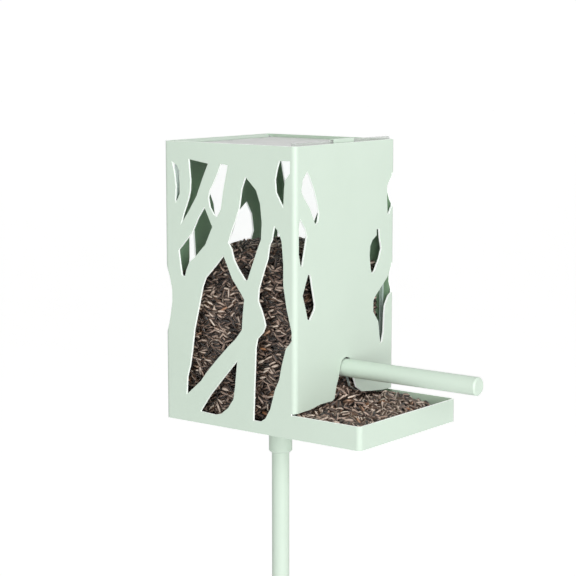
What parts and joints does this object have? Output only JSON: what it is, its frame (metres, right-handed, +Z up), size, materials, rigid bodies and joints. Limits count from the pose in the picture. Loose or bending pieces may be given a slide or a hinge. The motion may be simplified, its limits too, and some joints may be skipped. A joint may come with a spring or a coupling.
{
  "type": "bird feeder on pole",
  "caption": "Square sheet-steel bird feeder with cut-out branches, clear seed insert, front tray, round perch and hinged clear lid, turning on a pole with a ground spike.",
  "frame": {"origin": "on the pole's axis at ground level, where the ground spike meets the lowest tube", "axes": "+Z up along the pole, +X from the pole over the tray along the perch, +Y to the hopper's right-hand wall as a bird on the perch would have it on its right"},
  "size_m": [0.3235, 0.165, 1.4039],
  "materials": {
    "mint_paint": "fine satin powder coat, pale mint green",
    "clear_acrylic": "clear, polished, with faintly green edges",
    "satin_acrylic": "clear sheet with a satin face, pale grey at a low angle",
    "sunflower_seeds": "dry striped seed husks, dark grey-brown and tan",
    "screw_steel": "plain stainless fasteners",
    "spike_steel": "zinc-plated bar",
    "nylon": "natural white nylon"
  },
  "bodies": {
    "pole": {"ground_spike": "spike_steel", "pole_lower": "mint_paint", "pole_middle": "mint_paint", "pole_upper": "mint_paint", "pole_joiner_lower": "spike_steel", "pole_joiner_upper": "spike_steel", "pole_cap": "nylon"},
    "head": {"casing": "mint_paint", "base_plate": "mint_paint", "pole_socket": "mint_paint", "socket_screws": "screw_steel", "socket_nuts": "screw_steel", "socket_set_screw": "screw_steel", "insert_locators": "mint_paint", "pane_left": "clear_acrylic", "pane_right": "clear_acrylic", "pane_front": "clear_acrylic", "pane_back": "clear_acrylic", "perch": "mint_paint", "perch_plug": "mint_paint", "perch_insert": "screw_steel", "perch_washer": "screw_steel", "perch_screw": "screw_steel", "hinge_lugs": "mint_paint", "hinge_pin": "screw_steel", "hopper_seeds": "sunflower_seeds", "tray_seeds": "sunflower_seeds"},
    "lid": {"lid_pane": "satin_acrylic", "lid_barrel": "mint_paint", "lid_rivets": "screw_steel", "lid_grip": "mint_paint"}
  },
  "joints": [
    {"name": "head_swivel", "type": "hinge", "parent": "pole", "child": "head", "pos_m": [0, 0, 0.88], "axis": [0, 0, 1], "continuous": true},
    {"name": "lid_hinge", "type": "hinge", "parent": "head", "child": "lid", "pos_m": [-0.0765, 0, 1.1765], "axis": [0, -1, 0], "range_deg": [0, 130]}
  ]
}
